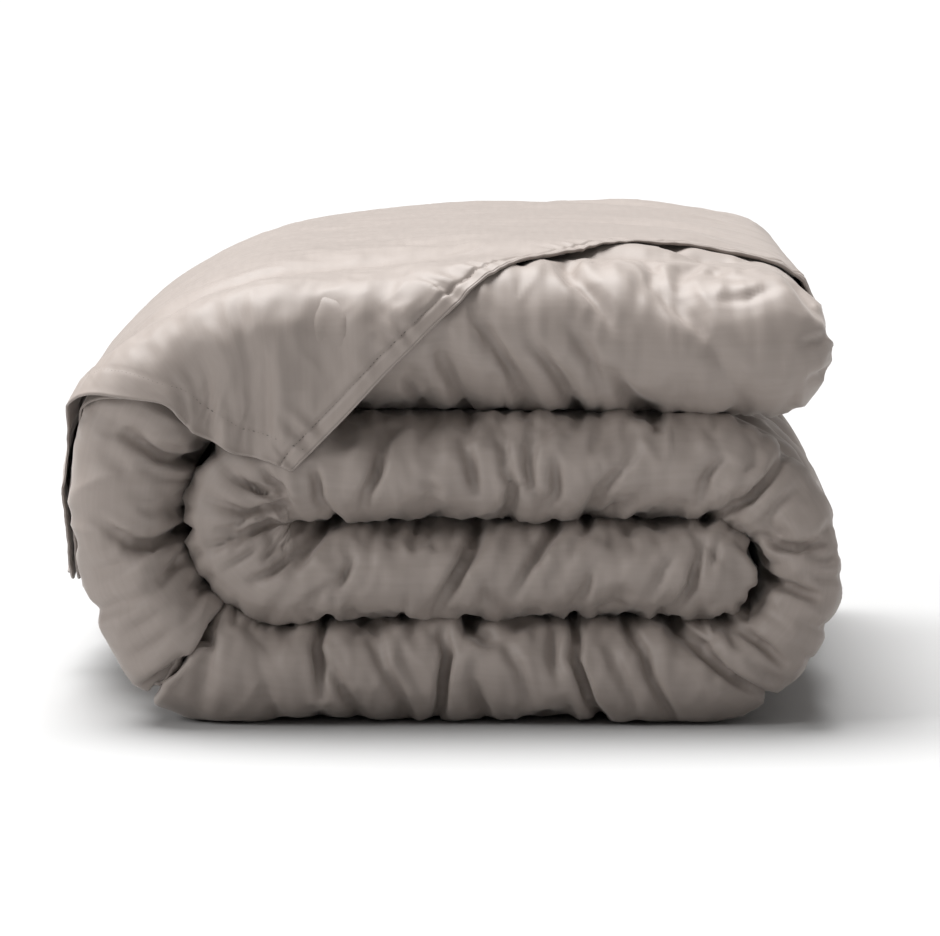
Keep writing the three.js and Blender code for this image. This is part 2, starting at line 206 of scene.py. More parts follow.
CREASE_TURN = 34
crease_share = CREASE_TURN / 180
big_bend_start = along[np.argmin(np.abs(line[:, 0] - BIG_X) + np.abs(line[:, 1] - bottom_z))]
big_bend_stop = along[np.argmin(np.abs(line[:, 0] - BIG_X) + np.abs(line[:, 1] - top_z))]
right_bend_start = along[np.argmin(np.abs(line[:, 0] - RIGHT_X) + np.abs(line[:, 1] - second_z))]
right_bend_stop = along[np.argmin(np.abs(line[:, 0] - RIGHT_X) + np.abs(line[:, 1] - bottom_z))]
crease_at = big_bend_start + (big_bend_stop - big_bend_start) * crease_share


def stations(distance):
    """Centre, normal and half thickness of the slab at distances along it."""
    return [np.interp(distance, along, line[:, k]) for k in range(5)]


# Rows of the skin along the slab, and the share of full thickness at each. A sewn end
# closes like the edge of a pillow, and the ends at the crease are blunt.
STEP = 4.6 * MM
END_ROWS = 12


def skin_rows(start, stop, start_round, stop_round):
    turn = np.linspace(0, math.pi / 2, END_ROWS + 1)
    rows, sizes = [], []
    for reach, power in (start_round, stop_round):
        rows.append(reach * (1 - np.cos(turn) ** (2 / power)))
        sizes.append(np.sin(turn) ** (2 / power))
    first, last = start + rows[0][-1], stop - rows[1][-1]
    middle = np.linspace(first, last, round((last - first) / STEP) + 1)[1:-1]
    distance = np.concatenate([start + rows[0], middle, (stop - rows[1])[::-1]])
    size = np.concatenate([sizes[0], np.ones(len(middle)), sizes[1][::-1]])
    return distance, size


# Columns round the slab: the back edge of the outer ply, its face, the front fold, the
# inner ply and its back edge, and the narrow gap between the plies.
MID_GAP = 1.2 * MM
EDGE_DEPTH = 34 * MM
FREE_FRONT = 46 * MM
OUTER_COLUMNS = 52
EDGE_COLUMNS = 10
FOLD_COLUMNS = 26
FRONT_COLUMNS = 10
INNER_COLUMNS = 10
GAP_COLUMNS = 8


def profile(half, size):
    """Points (y, n) round one cross section, from the outer ply's back edge and back to it."""
    thick = half * size
    gap = min(MID_GAP, 0.3 * thick)
    middle, swell = (thick + gap) / 2, (thick - gap) / 2
    depth = EDGE_DEPTH
    lead = half - thick
    edge = np.linspace(0, math.pi, EDGE_COLUMNS + 1)
    edge_y = BACK - depth + depth * np.sin(edge)
    front_y = FRONT + half + FREE_FRONT
    face = np.linspace(BACK - depth, front_y, OUTER_COLUMNS + 1)[1:]
    near = np.linspace(front_y, FRONT + half, FRONT_COLUMNS + 1)[1:]
    fold = np.linspace(math.pi / 2, 3 * math.pi / 2, FOLD_COLUMNS + 1)[1:]
    back_face = np.linspace(front_y, BACK - depth, INNER_COLUMNS + 1)[1:]
    inside = np.linspace(BACK - depth, FRONT + half, GAP_COLUMNS + 1)[1:]
    y = np.concatenate([edge_y, face, near, FRONT + half + (thick + 0.3 * lead) * np.cos(fold),
                        near[::-1][1:], [front_y], back_face, edge_y[1:], inside, inside[::-1][1:],
                        [BACK - depth]])
    n = np.concatenate([middle - swell * np.cos(edge), np.full(OUTER_COLUMNS + FRONT_COLUMNS, thick),
                        thick * np.sin(fold), np.full(FRONT_COLUMNS + INNER_COLUMNS, -thick),
                        -middle - swell * np.cos(edge[1:]), np.full(GAP_COLUMNS, -gap),
                        np.full(GAP_COLUMNS, gap)])
    return y, n


# The outside swells where the big bend sags onto the floor beside the crease, and the top
# dips at the left shoulder and stands highest right of the middle.
SAG_SWELL = 14 * MM
SAG_LENGTH = 45 * MM
TOP_FROM = 0.12
TOP_AT = np.array([-250, -215, -185, -140, -100, -50, 20, 90, 150, 215, 250]) * MM
TOP_LIFT = np.array([0, -9, -14, -12, -8, -3, 4, 7, 5, 0, -3]) * MM


def quilt_skin(name, distance, size):
    """The skin as one closed grid, with its own map in metres for the weave."""
    x, z, nx, nz, half = stations(distance)
    sections = [profile(h, e) for h, e in zip(half, size)]
    y = np.array([section[0] for section in sections])
    n = np.array([section[1] for section in sections])
    rows, columns = y.shape
    outside = np.clip(n / half[:, None], 0, 1)
    n = n + outside * (SAG_SWELL * np.exp(-((distance - crease_at) / SAG_LENGTH) ** 2))[:, None]
    px, pz = x[:, None] + nx[:, None] * n, z[:, None] + nz[:, None] * n
    top_share = outside * (distance > crease_at + TOP_FROM)[:, None]
    pz = pz + top_share * np.interp(px, TOP_AT, TOP_LIFT)
    around = np.concatenate([[0], np.cumsum(np.hypot(*np.diff(sections[rows // 2], axis=1)))])
    skin = bmesh.new()
    bmesh.ops.create_grid(skin, x_segments=columns - 1, y_segments=rows - 1, size=0.5)
    mesh = bpy.data.meshes.new(name)
    weave = skin.loops.layers.uv.new("weave")
    station = skin.verts.layers.float.new("station")
    column = skin.verts.layers.float.new("column")
    place = {}
    for vert in skin.verts:
        i = round((vert.co.x + 0.5) * (columns - 1))
        j = round((vert.co.y + 0.5) * (rows - 1))
        place[vert] = (around[i], distance[j])
        vert[station], vert[column] = distance[j], i
        vert.co = (px[j, i], y[j, i], pz[j, i])
    for face in skin.faces:
        for loop in face.loops:
            loop[weave].uv = place[loop.vert]
    bmesh.ops.remove_doubles(skin, verts=skin.verts, dist=0.02 * MM)
    bmesh.ops.recalc_face_normals(skin, faces=skin.faces)
    skin.to_mesh(mesh)
    skin.free()
    quilt = bpy.data.objects.new(name, mesh)
    scene.collection.objects.link(quilt)
    return quilt


# Where the cloth has gathered into creases on the folded front edge: how deep and how
# wide each one is, and the points it runs through in millimetres (x, z).
CREASES = [
    # big_bend
    (8, 6, [(-222, 200), (-211, 193), (-199, 184), (-186, 180), (-173, 182), (-162, 187)]),
    (3, 8, [(-234, 187), (-223, 177), (-208, 176)]),
    (8, 6, [(-222, 124), (-204, 125), (-191, 130), (-180, 136)]),
    (4, 6, [(-241, 142), (-228, 133), (-213, 128)]),
    (3, 7, [(-238, 105), (-223, 113), (-211, 119), (-201, 125)]),
    (5, 5, [(-199, 102), (-190, 110), (-183, 123)]),
    (3, 8, [(-244, 77), (-228, 83), (-213, 88), (-199, 98)]),
    (2, 8, [(-238, 56), (-216, 67), (-194, 84)]),
    (6, 5, [(-213, 25), (-204, 32), (-193, 39), (-185, 48)]),
    (4, 5, [(-210, 17), (-202, 27), (-199, 34)]),
    (4, 9, [(-199, 226), (-183, 219), (-166, 208), (-151, 198)]),
    (2, 8, [(-227, 205), (-211, 201), (-196, 205)]),
    (2, 7, [(-221, 46), (-210, 52), (-191, 66)]),
    # small_bend
    (4, 4, [(-156, 180), (-148, 170), (-137, 164), (-121, 160)]),
    (4, 4, [(-146, 170), (-138, 165), (-128, 161), (-118, 162)]),
    (5, 4, [(-128, 176), (-125, 170), (-119, 165), (-112, 156)]),
    (6, 4, [(-168, 158), (-157, 153), (-145, 148), (-136, 148), (-121, 151), (-110, 153)]),
    (4, 4, [(-161, 135), (-152, 136), (-143, 142), (-135, 148)]),
    (5, 4, [(-174, 118), (-162, 124), (-148, 132), (-136, 137), (-125, 142)]),
    (5, 4, [(-150, 123), (-143, 130), (-130, 136), (-122, 140), (-110, 148)]),
    (3, 4, [(-158, 106), (-146, 115), (-135, 123), (-125, 129)]),
    (5, 5, [(-138, 100), (-122, 109), (-107, 120), (-95, 130), (-80, 138)]),
    (4, 4, [(-106, 112), (-99, 120), (-89, 130)]),
    (2, 5, [(-100, 87), (-89, 95), (-82, 100)]),
    (4, 4, [(-79, 96), (-74, 106), (-69, 116)]),
    # tongue
    (3, 7, [(-13, 81), (-5, 96), (6, 112), (14, 133)]),
    (3, 6, [(-9, 84), (1, 102), (7, 116), (17, 136)]),
    (4, 5, [(41, 92), (50, 110), (59, 122), (70, 135)]),
    (3, 5, [(77, 78), (89, 93), (95, 111)]),
    (3, 6, [(134, 92), (142, 110), (150, 119)]),
    (5, 5, [(150, 81), (160, 96), (164, 111), (169, 126)]),
    (3, 4, [(173, 109), (179, 126)]),
    (3, 5, [(97, 80), (115, 84)]),
    (3, 4, [(192, 126), (201, 118), (210, 102)]),
    (4, 4, [(211, 94), (205, 88), (198, 73)]),
    # second
    (5, 5, [(-96, 178), (-93, 167), (-92, 156), (-88, 149)]),
    (5, 6, [(-46, 200), (-49, 188), (-53, 174), (-59, 161), (-61, 152)]),
    (3, 7, [(-22, 171), (-15, 163), (-19, 153)]),
    (3, 6, [(9, 191), (10, 177), (15, 162)]),
    (3, 6, [(7, 194), (12, 180), (14, 164)]),
    (5, 6, [(33, 191), (35, 174), (40, 165), (37, 151), (31, 141)]),
    (4, 6, [(53, 194), (50, 180), (52, 165), (59, 153)]),
    (4, 6, [(69, 180), (69, 162), (62, 147)]),
    (4, 6, [(124, 189), (109, 173), (97, 158), (88, 142)]),
    (4, 5, [(91, 141), (106, 147), (122, 155)]),
    (4, 5, [(166, 161), (171, 173), (182, 184)]),
    (8, 5, [(225, 186), (213, 170), (200, 156), (182, 145), (173, 140)]),
    (3, 6, [(192, 173), (205, 183)]),
    # right_bend
    (3, 5, [(233, 163), (218, 153), (212, 143), (214, 133)]),
    (8, 5, [(208, 131), (221, 124), (234, 123), (249, 126)]),
    (3, 5, [(256, 139), (247, 130)]),
    (3, 5, [(243, 118), (253, 115), (261, 118)]),
    (3, 5, [(239, 107), (250, 102), (261, 102)]),
    (7, 5, [(213, 102), (223, 97), (234, 93), (245, 90)]),
    (3, 6, [(237, 73), (250, 67), (259, 68)]),
    (7, 5, [(189, 70), (203, 61), (213, 54), (223, 44)]),
    (8, 5, [(144, 70), (162, 57), (176, 44), (191, 33), (203, 26), (215, 20)]),
    (5, 4, [(157, 67), (173, 53), (182, 45)]),
    (3, 5, [(200, 46), (214, 35), (225, 30)]),
    (2, 6, [(230, 53), (243, 46)]),
    # bottom
    (6, 5, [(-88, 72), (-91, 63), (-94, 54), (-92, 40), (-90, 22)]),
    (4, 6, [(-90, 50), (-80, 34), (-72, 19), (-66, 5)]),
    (4, 6, [(-56, 60), (-49, 43), (-41, 28), (-33, 11)]),
    (3, 7, [(-36, 55), (-29, 40), (-20, 19)]),
    (7, 5, [(-8, 63), (-5, 49), (-8, 31), (-9, 16), (-12, 2)]),
    (3, 8, [(-163, 69), (-167, 46), (-174, 13)]),
    (2, 7, [(-135, 54), (-128, 31), (-122, 2)]),
    (5, 6, [(7, 70), (15, 64), (26, 58)]),
    (7, 5, [(80, 70), (84, 57), (82, 46), (88, 30), (93, 15), (101, 3)]),
    (4, 6, [(68, 64), (67, 48), (72, 30)]),
    (5, 5, [(116, 68), (128, 53), (133, 35), (140, 21), (148, 7)]),
    (3, 7, [(12, 30), (22, 2)]),
    (3, 6, [(106, 53), (115, 33), (124, 13)]),
    (3, 6, [(33, 59), (44, 41), (50, 17)]),
    # top
    (5, 6, [(-10, 254), (-2, 236), (9, 216)]),
    (4, 5, [(-33, 236), (-23, 217)]),
    (5, 6, [(21, 274), (30, 257), (39, 243), (48, 220)]),
    (5, 6, [(53, 262), (68, 243), (77, 223), (85, 216)]),
    (4, 7, [(106, 243), (119, 223), (134, 213)]),
    (3, 8, [(77, 274), (93, 252), (101, 232)]),
    (3, 12, [(136, 304), (157, 286), (173, 263), (187, 236), (201, 211)]),
    (3, 9, [(77, 309), (93, 295), (108, 274)]),
    (2, 5, [(222, 312), (236, 295), (247, 280)]),
    (2, 5, [(220, 307), (191, 305), (157, 308)]),
    (2, 5, [(218, 300), (198, 292), (175, 291)]),
    (2, 5, [(254, 267), (236, 262)]),
    (3, 5, [(256, 243), (240, 236)]),
    (3, 5, [(245, 205), (232, 214)]),
    (3, 6, [(9, 281), (19, 270), (23, 254)]),
]


# Short tucks where the cloth is caught between two layers. They start on the lines that the
# layers meet along and inside the bends, and run out into the cloth, in millimetres.
TUCK_SEED = 11
MEETING_LINES = [(-150, 185, 70), (-112, 205, 137), (-95, 232, 210)]
BEND_CORES = [
    (RIGHT_X / MM, (second_z + bottom_z) / 2 / MM, 57, 34, -80, 80),
    (BIG_X / MM, (top_z + bottom_z) / 2 / MM, 66, 70, 105, 235),
    (SMALL_X / MM, (second_z + tongue_z) / 2 / MM, 16, 16, 110, 250),
]


def caught_tucks():
    rng = np.random.default_rng(TUCK_SEED)
    tucks = []
    for x_from, x_to, z_from in MEETING_LINES:
        x = x_from + rng.uniform(0, 12)
        while x < x_to:
            side = rng.choice((-1, 1))
            length = rng.uniform(12, 34)
            lean = rng.normal(0.25, 0.45) * side
            bow = rng.normal(0, 2.5)
            start = (x, z_from + side * 2)
            middle = (x + lean * length / 2 + bow, z_from + side * length / 2)
            end = (x + lean * length, z_from + side * length)
            tucks.append((rng.uniform(1.2, 3.2), rng.uniform(2.4, 3.8), [start, middle, end]))
            x += rng.uniform(7, 19)
    for centre_x, centre_z, inner_x, inner_z, turn_from, turn_to in BEND_CORES:
        turn = turn_from + rng.uniform(0, 9)
        while turn < turn_to:
            angle = math.radians(turn)
            length = rng.uniform(16, 38)
            swing = rng.normal(0, 0.3)
            x, z = centre_x + inner_x * math.cos(angle), centre_z + inner_z * math.sin(angle)
            way = np.array([math.cos(angle + swing), math.sin(angle + swing)])
            bow = rng.normal(0, 2.5) * np.array([-way[1], way[0]])
            start = np.array([x, z])
            tucks.append((rng.uniform(1.5, 3.6), rng.uniform(2.6, 4.2),
                          [start, start + way * length / 2 + bow, start + way * length]))
            turn += rng.uniform(7, 17)
    return tucks


TUCKS = caught_tucks()


def press_lines(place, normal, free, lines, depth_share, narrow, tapered):
    """Pushes the cloth in along every line, and lets it swell a little on both sides."""
    near = np.flatnonzero(free > 0.01)
    flat = place[near][:, [0, 2]] / MM
    push = np.zeros(len(near))
    for depth, width, points in lines:
        points = np.array(points, float)
        low, high = points.min(axis=0) - 4 * width, points.max(axis=0) + 4 * width
        close = np.flatnonzero(((flat > low) & (flat < high)).all(axis=1))
        spots = flat[close]
        gap_to = np.full(len(close), 1e9)
        ends = np.zeros(len(close))
        lengths = np.hypot(*np.diff(points, axis=0).T)
        done = 0
        for a, b, length in zip(points[:-1], points[1:], lengths):
            share = np.clip((spots - a) @ (b - a) / length ** 2, 0, 1)
            gap = np.hypot(*(spots - a - share[:, None] * (b - a)).T)
            closer = gap < gap_to
            gap_to = np.where(closer, gap, gap_to)
            ends = np.where(closer, (done + share * length) / lengths.sum(), ends)
            done += length
        fade = (1 - ends) ** 0.8 if tapered else 0.35 + 0.65 * np.sin(math.pi * np.clip(ends, 0.02, 0.98))
        strength = depth * depth_share * fade
        ratio = gap_to / (width * narrow)
        push[close] -= strength * np.exp(-ratio ** 1.4)
        push[close] += 0.32 * strength * np.exp(-(ratio - 2.4) ** 2)
    place[near] += normal[near] * (push * free[near] * MM)[:, None]


def read_points(mesh):
    values = np.empty(len(mesh.vertices) * 3)
    mesh.vertices.foreach_get("co", values)
    return values.reshape(-1, 3)


def read_normals(mesh):
    values = np.empty(len(mesh.vertices) * 3)
    mesh.vertices.foreach_get("normal", values)
    return values.reshape(-1, 3)


def read_layer(mesh, name):
    values = np.empty(len(mesh.vertices))
    mesh.attributes[name].data.foreach_get("value", values)
    return values


def write_points(mesh, points):
    mesh.vertices.foreach_set("co", points.ravel())
    mesh.update()


def settle(cloth, frames):
    """Runs the cloth to its last frame and keeps the shape it has reached."""
    for number in range(1, frames + 1):
        scene.frame_set(number)
    view = bpy.context.evaluated_depsgraph_get()
    result = bpy.data.meshes.new_from_object(cloth.evaluated_get(view))
    cloth.shape_key_clear()
    cloth.modifiers.clear()
    cloth.vertex_groups.clear()
    cloth.data = result
    scene.frame_set(1)


def refine(piece):
    """One round of subdivision, kept in the mesh."""
    smooth = piece.modifiers.new("smooth", "SUBSURF")
    smooth.levels = smooth.render_levels = 1
    view = bpy.context.evaluated_depsgraph_get()
    result = bpy.data.meshes.new_from_object(piece.evaluated_get(view))
    piece.modifiers.clear()
    piece.data = result


def quilt_freedom(mesh):
    """How free each point is to move, from 0 where layers press together to 1 outside."""
    place = read_points(mesh)
    station, column = read_layer(mesh, "station"), read_layer(mesh, "column")
    half = stations(station)[4]
    front_end = FRONT + half + FREE_FRONT
    near_front = np.clip((front_end - place[:, 1]) / (30 * MM), 0, 1)
    gap_start = 2 * EDGE_COLUMNS + OUTER_COLUMNS + 2 * FRONT_COLUMNS + FOLD_COLUMNS + INNER_COLUMNS
    outer = column < EDGE_COLUMNS + OUTER_COLUMNS
    inner = (column > gap_start - EDGE_COLUMNS - INNER_COLUMNS) & (column <= gap_start)
    gap = column > gap_start
    right = (np.clip((station - right_bend_start) / 0.05, 0, 1)
             * np.clip((right_bend_stop - station) / 0.05, 0, 1))
    left = np.clip((station - big_bend_start - 0.03) / 0.06, 0, 1)
    head_calm = np.clip((along[-1] - station - 0.02) / 0.06, 0, 1)
    open_face = np.where(outer, np.maximum(right, left * head_calm), 0)
    back_edge = 0.35 * ((column < EDGE_COLUMNS) | (inner & (column > gap_start - EDGE_COLUMNS)))
    free = np.maximum(np.maximum(near_front, open_face), back_edge)
    front = np.clip((FRONT + 0.075 - place[:, 1]) / 0.02, 0, 1)
    return place, np.where(gap, 0, free), np.where(gap, 0, free * front)


MOST_MOVE = 13 * MM
RIPPLE_HEIGHT = 1.2 * MM
RIPPLES_PER_METRE = 22
HOLD_STEPS = 10


def crumple(quilt, seed, frames, pressure, slack):
    """Presses the creases in, then lets the filling push the cloth out between them."""
    mesh = quilt.data
    place, free, front = quilt_freedom(mesh)
    normal = read_normals(mesh)
    pressed = place.copy()
    press_lines(pressed, normal, front, CREASES, 1.3, 1.0, False)
    ripple = np.array([noise.noise(Vector(p) * RIPPLES_PER_METRE + Vector((seed, 0, 0))) for p in place])
    pressed += normal * (ripple * RIPPLE_HEIGHT * free)[:, None]
    write_points(mesh, pressed)
    held = quilt.vertex_groups.new(name="held")
    for level in range(HOLD_STEPS + 1):
        share = 1 - level / HOLD_STEPS
        members = np.flatnonzero(np.abs(free - (1 - share)) <= 0.5 / HOLD_STEPS)
        if share > 0 and len(members):
            held.add(members.tolist(), share, "REPLACE")
    cloth = quilt.modifiers.new("cloth", "CLOTH")
    settings = cloth.settings
    settings.quality = 4
    settings.mass = 0.3
    settings.air_damping = 2
    settings.tension_stiffness = 12
    settings.compression_stiffness = 6
    settings.shear_stiffness = 4
    settings.bending_stiffness = 0.4
    settings.vertex_group_mass = "held"
    settings.pin_stiffness = 1
    settings.shrink_min = -slack
    settings.use_pressure = True
    settings.uniform_pressure_force = pressure
    settings.effector_weights.gravity = 0
    cloth.collision_settings.use_collision = False
    cloth.point_cache.frame_start, cloth.point_cache.frame_end = 1, frames
    settle(quilt, frames)
    shift = read_points(quilt.data) - place
    size = np.linalg.norm(shift, axis=1, keepdims=True) + 1e-9
    shift *= MOST_MOVE * np.tanh(size / MOST_MOVE) / size
    write_points(quilt.data, place + shift)


TOP_FIRM_AT, TOP_GIVE = 316 * MM, 11 * MM


def press_top(place):
    """Flattens the crown of the pile softly, so that nothing stands over its full height."""
    over = np.maximum(place[..., 2] - TOP_FIRM_AT, 0)
    place[..., 2] += TOP_GIVE * np.tanh(over / TOP_GIVE) - over


FOLD_DEPTH = 3.2 * MM
FLOOR_EASE = 4 * MM


def sharpen(quilt):
    """Presses the creases and tucks in again on a finer skin, and flattens the underside."""
    refine(quilt)
    place, free, front = quilt_freedom(quilt.data)
    normal = read_normals(quilt.data)
    station, column = read_layer(quilt.data, "station"), read_layer(quilt.data, "column")
    ridge = np.array([noise.noise((a * 52, b * 0.11, 0.5)) + 0.5 * noise.noise((a * 120, b * 0.2, 4.5))
                      for a, b in zip(station, column)])
    folds = 0.45 - np.abs(ridge) ** 0.8
    back = np.clip((place[:, 1] - BACK + 60 * MM) / (40 * MM), 0, 1) * (free > 0)
    place += normal * (folds * FOLD_DEPTH * (0.25 * free + 0.75 * front + 0.9 * back))[:, None]
    press_lines(place, normal, front, CREASES, 1.0, 0.5, False)
    press_lines(place, normal, front, TUCKS, 1.0, 1.0, True)
    eased = FLOOR_EASE * np.exp((place[:, 2] - FLOOR_EASE) / FLOOR_EASE)
    place[:, 2] = np.where(place[:, 2] < FLOOR_EASE, eased, place[:, 2])
    press_top(place)
    write_points(quilt.data, place)
    for polygon in quilt.data.polygons:
        polygon.use_smooth = True


roll_rows = skin_rows(0, crease_at - 0.3 * MM, (30 * MM, 2), (8 * MM, 4))
wrap_rows = skin_rows(crease_at + 0.3 * MM, along[-1], (8 * MM, 4), (48 * MM, 2.2))
roll_quilt = quilt_skin("roll_quilt", *roll_rows)
wrap_quilt = quilt_skin("wrap_quilt", *wrap_rows)
PLUMP_FRAMES = 16
PLUMP_PRESSURE = 1.2
COVER_SLACK = 0.07
crumple(roll_quilt, 1.0, PLUMP_FRAMES, PLUMP_PRESSURE, COVER_SLACK)
crumple(wrap_quilt, 2.0, PLUMP_FRAMES, PLUMP_PRESSURE, COVER_SLACK)


# The sateen: fine cotton in a warm grey, its threads floating along one way, so that it
# has a soft sheen, a trace of slub and a slightly uneven dye.
THREADS_PER_METRE = (2400, 520, 1)
SLUBS_PER_METRE = (260, 18, 1)
DYE_PATCHES_PER_METRE = 9.0
THREAD_HEIGHT = 0.12 * MM


def sateen_cloth(name, dark, light):
    cloth = bpy.data.materials.new(name)
    cloth.use_nodes = True
    nodes, links = cloth.node_tree.nodes, cloth.node_tree.links
    shader = nodes["Principled BSDF"]
    shader.inputs["Specular IOR Level"].default_value = 0.34
    shader.inputs["Sheen Weight"].default_value = 0.28
    shader.inputs["Sheen Roughness"].default_value = 0.35
    shader.inputs["Sheen Tint"].default_value = (1.0, 0.94, 0.9, 1)
    place = nodes.new("ShaderNodeUVMap")
    place.uv_map = "weave"
    threads = nodes.new("ShaderNodeMapping")
    threads.inputs["Scale"].default_value = THREADS_PER_METRE
    links.new(place.outputs["UV"], threads.inputs["Vector"])
    floats = nodes.new("ShaderNodeTexNoise")
    floats.inputs["Scale"].default_value = 1.0
    floats.inputs["Detail"].default_value = 2.0
    links.new(threads.outputs["Vector"], floats.inputs["Vector"])
    slubs = nodes.new("ShaderNodeMapping")
    slubs.inputs["Scale"].default_value = SLUBS_PER_METRE
    links.new(place.outputs["UV"], slubs.inputs["Vector"])
    slub = nodes.new("ShaderNodeTexNoise")
    slub.inputs["Scale"].default_value = 1.0
    slub.inputs["Detail"].default_value = 3.0
    links.new(slubs.outputs["Vector"], slub.inputs["Vector"])
    dye = nodes.new("ShaderNodeTexNoise")
    dye.inputs["Scale"].default_value = DYE_PATCHES_PER_METRE
    dye.inputs["Detail"].default_value = 4.0
    links.new(place.outputs["UV"], dye.inputs["Vector"])
    blend = nodes.new("ShaderNodeMath")
    blend.operation = "MULTIPLY_ADD"
    blend.inputs[1].default_value = 0.5
    links.new(slub.outputs["Fac"], blend.inputs[0])
    half_dye = nodes.new("ShaderNodeMath")
    half_dye.operation = "MULTIPLY"
    half_dye.inputs[1].default_value = 0.5
    links.new(dye.outputs["Fac"], half_dye.inputs[0])
    links.new(half_dye.outputs["Value"], blend.inputs[2])
    tone = nodes.new("ShaderNodeValToRGB")
    tone.color_ramp.elements[0].position = 0.32
    tone.color_ramp.elements[0].color = (*dark, 1)
    tone.color_ramp.elements[1].position = 0.68
    tone.color_ramp.elements[1].color = (*light, 1)
    links.new(blend.outputs["Value"], tone.inputs["Fac"])
    links.new(tone.outputs["Color"], shader.inputs["Base Color"])
    gloss = nodes.new("ShaderNodeMapRange")
    gloss.inputs["To Min"].default_value = 0.47
    gloss.inputs["To Max"].default_value = 0.60
    links.new(slub.outputs["Fac"], gloss.inputs["Value"])
    links.new(gloss.outputs["Result"], shader.inputs["Roughness"])
    grain = nodes.new("ShaderNodeBump")
    grain.inputs["Strength"].default_value = 0.35
    grain.inputs["Distance"].default_value = THREAD_HEIGHT
    links.new(floats.outputs["Fac"], grain.inputs["Height"])
    links.new(grain.outputs["Normal"], shader.inputs["Normal"])
    return cloth


sateen = sateen_cloth("sateen", (0.268, 0.229, 0.206), (0.300, 0.258, 0.233))


# The tail: the cover runs on past the duvet's end as two layers of bare cloth, hemmed
# round its mouth. It is turned back over the top, one corner hanging on the front edge
# and its far end down the left side, and it is draped here by gravity over the quilt.
tail_hinge = next(j for j in frame["joints"] if j["name"] == "tail_turn_back")
HINGE_X, HINGE_Z = tail_hinge["pos_m"][0], tail_hinge["pos_m"][2]
TAIL_LIFT = 8 * MM
ROWS_OUT, ROWS_ACROSS = 88, 128
DRAPE_FRAMES = 30

wrap_distance, wrap_size = wrap_rows
cx, cz, nx, nz, half = stations(wrap_distance[::-1])
thick = half * wrap_size[::-1]
outer_x, outer_z = cx + nx * thick, cz + nz * thick
reach = np.concatenate([[0], np.cumsum(np.hypot(np.diff(outer_x), np.diff(outer_z)))])
hinge_reach = reach[np.argmax(outer_x <= HINGE_X)]
lean_x, lean_z = np.gradient(outer_z, reach), -np.gradient(outer_x, reach)
CONTOUR = [cx, cz, nx, nz, thick, outer_x, outer_z, lean_x, lean_z, half]


def on_roll(u, w, lift):
    """Where a point of the flat tail lies: over the top, round the front fold, down the face."""
    x, z, nx, nz, radius, ox, oz, lx, lz, full = [np.interp(u, reach, values) for values in CONTOUR]
    grown = radius + lift
    quarter = grown * math.pi / 2
    turn = np.clip(w, 0, quarter) / grown
    down = np.maximum(w - quarter, 0)
    out = grown * np.cos(turn)
    y = FRONT + full - grown * np.sin(turn) - np.minimum(w, 0)
    flat = w <= 0
    return np.stack([np.where(flat, ox + lx * lift, x + nx * out), y,
                     np.where(flat, oz + lz * lift, z + nz * out - down)], axis=-1)


def walk(points, share):
    """Points at shares of the way along a line of points."""
    points = np.array(points, float)
    done = np.concatenate([[0], np.cumsum(np.hypot(*np.diff(points, axis=0).T))])
    return np.stack([np.interp(share * done[-1], done, points[:, k]) for k in (0, 1)], axis=-1)


def tail_at(u, w):
    return hinge_reach + u * MM, w * MM


# The flat pattern's edges in millimetres: u runs from the hinge out to the mouth, and w from
# the front fold down the face, so that a negative w lies on top.
BACK_W = -642
MOUTH_U = 648
ROOT_U = -hinge_reach / MM
ROOT_FRONT_W = -126
TAIL_CORNER = (3, -118)
TAIL_TIP = (332, 170)
SIDE_POINTS = [(ROOT_U, ROOT_FRONT_W), TAIL_CORNER, (60, -102), (110, -72), (150, -22), (181, 22),
               (215, 61), (266, 106), (296, 136), TAIL_TIP]
MOUTH_POINTS = [(MOUTH_U, BACK_W), (640, -190), (512, -6), (474, 58), (434, 112), (388, 148), TAIL_TIP]
side_edge = [tail_at(*point) for point in SIDE_POINTS]
back_edge = [tail_at(ROOT_U, BACK_W), tail_at(MOUTH_U, BACK_W)]
mouth_edge = [tail_at(*point) for point in MOUTH_POINTS]
root_edge = [tail_at(ROOT_U, BACK_W), tail_at(ROOT_U, ROOT_FRONT_W)]

even_out = np.linspace(0, 1, ROWS_OUT + 1)[:, None]
even_side = np.linspace(0, 1, ROWS_ACROSS + 1)[None, :]
out_share = even_out * (1.5 - 0.5 * even_out)
side_share = even_side * (1.55 - 0.55 * even_side)
at_root = walk(root_edge, side_share[0])[None]
at_mouth = walk(mouth_edge, side_share[0])[None]
at_back = walk(back_edge, out_share[:, 0])[:, None]
at_side = walk(side_edge, out_share[:, 0])[:, None]
out = out_share[..., None]
over = side_share[..., None]
corners = ((1 - out) * (1 - over) * at_root[:, :1] + (1 - out) * over * at_root[:, -1:]
           + out * (1 - over) * at_mouth[:, :1] + out * over * at_mouth[:, -1:])
flat_tail = (1 - out) * at_root + out * at_mouth + (1 - over) * at_back + over * at_side - corners
root_rise = np.clip(flat_tail[..., 0] / (30 * MM), 0, 1)
laid_tail = on_roll(flat_tail[..., 0], flat_tail[..., 1], TAIL_LIFT * (0.08 + 0.92 * root_rise))


